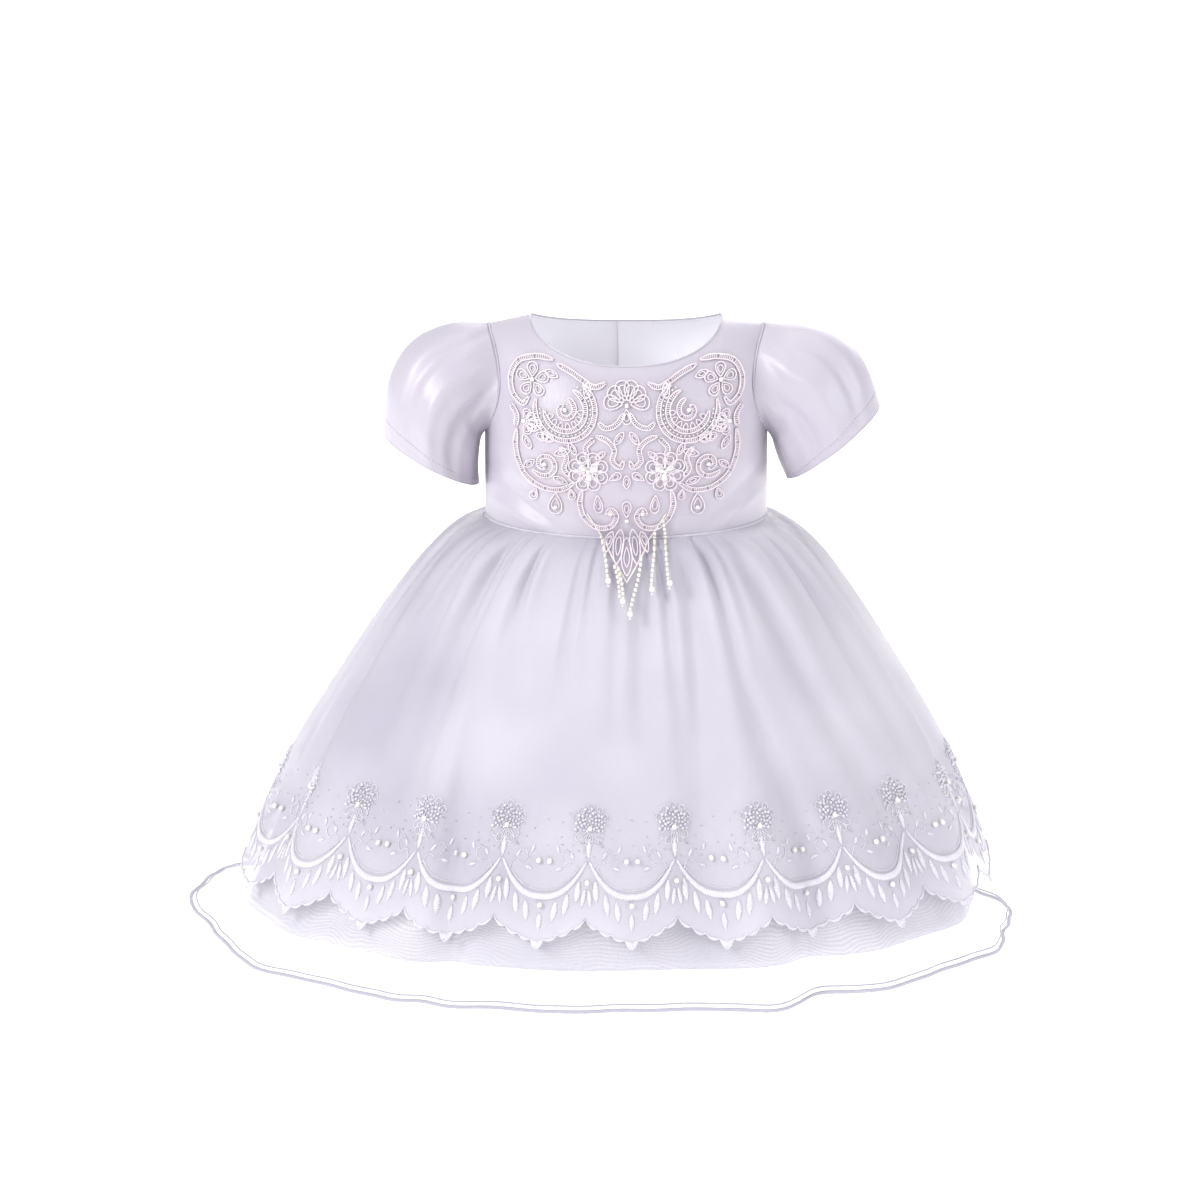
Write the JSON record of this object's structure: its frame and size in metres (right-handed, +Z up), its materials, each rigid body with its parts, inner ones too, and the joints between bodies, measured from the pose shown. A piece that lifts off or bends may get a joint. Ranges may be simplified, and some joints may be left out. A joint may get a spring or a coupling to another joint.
{
  "type": "christening gown",
  "caption": "Short-sleeved infant christening gown with a satin bodice, lace applique and bead strands, and a gathered organza skirt over satin.",
  "frame": {"origin": "midway between the shoulder seams, where the wearer's shoulders carry the gown", "axes": "+Z up, the front faces -Y, the wearer's left is +X"},
  "size_m": [0.5194, 0.3657, 0.3919],
  "materials": {
    "satin": "duchess satin, soft sheen",
    "organza": "sheer crisp organza",
    "lace": "corded lace",
    "pearl": "pearl lustre"
  },
  "bodies": {
    "root": {"bodice_front": "satin", "bodice_back_left": "satin", "bodice_back_right": "satin", "sleeve_left": "satin", "sleeve_right": "satin", "overskirt": "organza", "organza_skirt": "organza", "satin_skirt": "satin", "hem_cord": "satin", "bodice_applique": "lace", "bead_fringe": "pearl", "back_button_top": "pearl", "back_button_middle": "pearl", "back_button_low": "pearl"}
  },
  "joints": []
}
